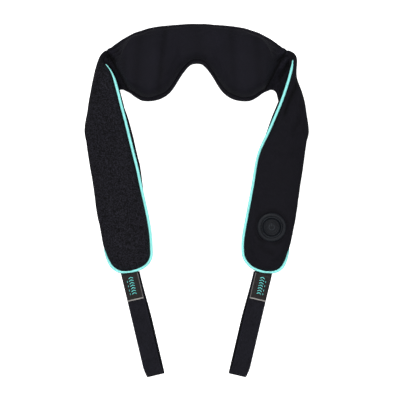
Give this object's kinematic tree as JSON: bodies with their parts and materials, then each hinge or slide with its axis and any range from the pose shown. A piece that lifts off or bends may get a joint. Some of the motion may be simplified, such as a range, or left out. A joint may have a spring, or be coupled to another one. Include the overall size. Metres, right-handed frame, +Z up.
{
  "type": "shiatsu neck massager",
  "caption": "Padded neck scarf with two worm-driven kneading drives in the neck section, folded arms edged with piping, a round button and webbing hand loops.",
  "frame": {"origin": "on the table, under the middle of the object's bounding box as it lies flat with the neck side up", "axes": "+Z up from the table, +Y along the arms towards the top edge of the neck section, +X towards the arm with the button"},
  "size_m": [0.3515, 0.5664, 0.0522],
  "materials": {
    "smooth_fabric": "smooth black polyester knit",
    "foam": "grey polyurethane foam",
    "black_plastic": "black moulded plastic",
    "steel": "plain steel",
    "bronze": "sintered bronze",
    "wire_jacket": "red silicone jacket",
    "white_nylon": "white nylon",
    "soft_rubber": "soft black rubber",
    "piping": "turquoise piping, soft satin",
    "circuit_board": "green solder mask",
    "textured_fabric": "black pebbled leather-look fabric",
    "cell_wrap": "blue shrink wrap",
    "webbing": "black ribbed webbing",
    "label": "dark grey-brown satin label with a woven chevron"
  },
  "bodies": {
    "root": {"neck_front_cover": "smooth_fabric", "neck_back_cover": "smooth_fabric", "neck_foam": "foam", "chassis_base": "black_plastic", "chassis_cover": "black_plastic", "left_chassis_screw": "steel", "right_chassis_screw": "steel", "motor_can": "steel", "motor_end_bell": "black_plastic", "motor_magnet": "steel", "motor_clamp": "steel", "left_shaft_bush": "bronze", "right_shaft_bush": "bronze", "left_lower_bush": "bronze", "right_lower_bush": "bronze", "left_upper_bush": "bronze", "right_upper_bush": "bronze", "left_neck_lead": "wire_jacket", "right_neck_lead": "wire_jacket"},
    "drive_shaft": {"worm_shaft": "steel", "motor_rotor": "bronze", "left_worm": "bronze", "right_worm": "bronze"},
    "right_drive": {"right_worm_wheel": "white_nylon", "right_output_shaft": "steel", "right_carrier": "black_plastic", "right_upper_massage_head": "soft_rubber", "right_lower_massage_head": "soft_rubber", "right_shaft_nut": "steel"},
    "left_drive": {"left_worm_wheel": "white_nylon", "left_output_shaft": "steel", "left_carrier": "black_plastic", "left_upper_massage_head": "soft_rubber", "left_lower_massage_head": "soft_rubber", "left_shaft_nut": "steel"},
    "right_arm": {"right_arm_front_cover": "smooth_fabric", "right_arm_back_cover": "smooth_fabric", "right_arm_foam": "foam", "right_piping": "piping", "right_arm_lead": "wire_jacket", "control_case": "black_plastic", "control_board": "circuit_board", "tact_switch": "black_plastic", "control_bezel": "black_plastic", "charging_port": "steel", "port_grommet": "soft_rubber"},
    "left_arm": {"left_arm_front_cover": "textured_fabric", "left_arm_back_cover": "smooth_fabric", "left_arm_foam": "foam", "left_piping": "piping", "left_arm_lead": "wire_jacket", "inner_battery_cell": "cell_wrap", "outer_battery_cell": "cell_wrap", "battery_strip": "steel", "battery_board": "circuit_board"},
    "button": {"power_button": "soft_rubber"},
    "right_strap": {"right_hand_strap": "webbing", "right_label": "label"},
    "left_strap": {"left_hand_strap": "webbing", "left_label": "label"}
  },
  "joints": [
    {"name": "drive_shaft_spin", "type": "hinge", "parent": "root", "child": "drive_shaft", "pos_m": [0, 0.243, 0.0165], "axis": [1, 0, 0], "continuous": true},
    {"name": "right_drive_spin", "type": "hinge", "parent": "root", "child": "right_drive", "pos_m": [0.079, 0.208, 0.0165], "axis": [0, 0, 1], "continuous": true},
    {"name": "left_drive_spin", "type": "hinge", "parent": "root", "child": "left_drive", "pos_m": [-0.079, 0.208, 0.0165], "axis": [0, 0, 1], "continuous": true},
    {"name": "right_arm_fold", "type": "hinge", "parent": "root", "child": "right_arm", "pos_m": [0.147, 0.227, 0.016], "axis": [-0.1772, 0.9842, 0], "range_deg": [0, 150]},
    {"name": "left_arm_fold", "type": "hinge", "parent": "root", "child": "left_arm", "pos_m": [-0.147, 0.227, 0.016], "axis": [-0.1772, -0.9842, 0], "range_deg": [0, 150]},
    {"name": "power_button_press", "type": "slide", "parent": "right_arm", "child": "button", "axis": [0, 0, -1], "range_m": [0, 0.0012], "stiffness_N_per_m": 400},
    {"name": "right_strap_swing", "type": "hinge", "parent": "right_arm", "child": "right_strap", "pos_m": [0.1062, -0.1157, 0.0086], "axis": [-0.974, 0.2265, 0], "range_deg": [-60, 75]},
    {"name": "left_strap_swing", "type": "hinge", "parent": "left_arm", "child": "left_strap", "pos_m": [-0.1062, -0.1157, 0.0086], "axis": [-0.974, -0.2265, 0], "range_deg": [-60, 75]}
  ],
  "couplings": [
    {"joint": "right_drive_spin", "follows": "drive_shaft_spin", "ratio": 0.025},
    {"joint": "left_drive_spin", "follows": "drive_shaft_spin", "ratio": -0.025}
  ]
}
